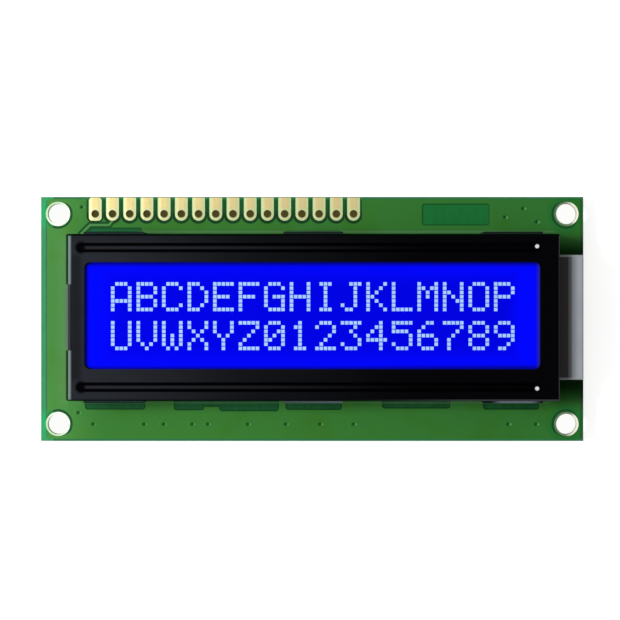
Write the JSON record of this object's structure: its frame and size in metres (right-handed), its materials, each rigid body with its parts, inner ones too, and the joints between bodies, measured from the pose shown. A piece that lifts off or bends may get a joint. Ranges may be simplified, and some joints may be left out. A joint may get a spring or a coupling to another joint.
{
  "type": "character lcd module",
  "caption": "Character display module: liquid crystal cell in a folded steel bezel over an edge-lit backlight, on a circuit board with corner holes and a header row.",
  "frame": {"origin": "centre of the four mounting holes, on the circuit board's rear face", "axes": "+X to the right end of the display, where the backlight's end block is; +Y towards the header row; +Z out of the display's face"},
  "size_m": [0.08, 0.036, 0.0115],
  "materials": {
    "circuit_board": "glass-fibre laminate under green solder mask",
    "header_pads": "gold-coloured plated pads",
    "mounting_rings": "pale plated rings",
    "upper_contacts": "gold-plated contact pads",
    "lower_contacts": "gold-plated contact pads",
    "bezel": "black semi-gloss paint on steel sheet",
    "front_polarizer": "saturated blue, glossy film",
    "front_glass": "clear float glass",
    "cell_seal": "cured adhesive",
    "rear_glass": "clear float glass",
    "rear_polarizer": "dark film",
    "upper_contact_strip": "layered silicone rubber",
    "lower_contact_strip": "layered silicone rubber",
    "backlight_housing": "pale grey moulded plastic, satin",
    "light_guide": "clear moulded plastic",
    "diffuser_film": "milky film",
    "reflector_film": "white film",
    "led_strip": "white-masked laminate",
    "backlight_leds": "white packages with a clear lens",
    "backlight_leads": "tinned wire",
    "lead_pads": "plated rings",
    "lead_solder": "solder",
    "controller_resin": "black epoxy resin",
    "driver_resin": "black epoxy resin",
    "chip_resistors": "black glazed face",
    "chip_capacitors": "tan ceramic",
    "chip_ends": "tinned",
    "chip_pads": "tinned"
  },
  "bodies": {
    "root": {"circuit_board": "circuit_board", "header_pads": "header_pads", "mounting_rings": "mounting_rings", "upper_contacts": "upper_contacts", "lower_contacts": "lower_contacts", "bezel": "bezel", "front_polarizer": "front_polarizer", "front_glass": "front_glass", "cell_seal": "cell_seal", "rear_glass": "rear_glass", "rear_polarizer": "rear_polarizer", "upper_contact_strip": "upper_contact_strip", "lower_contact_strip": "lower_contact_strip", "backlight_housing": "backlight_housing", "light_guide": "light_guide", "diffuser_film": "diffuser_film", "reflector_film": "reflector_film", "led_strip": "led_strip", "backlight_leds": "backlight_leds", "backlight_leads": "backlight_leads", "lead_pads": "lead_pads", "lead_solder": "lead_solder", "controller_resin": "controller_resin", "driver_resin": "driver_resin", "chip_resistors": "chip_resistors", "chip_capacitors": "chip_capacitors", "chip_ends": "chip_ends", "chip_pads": "chip_pads"}
  },
  "joints": []
}
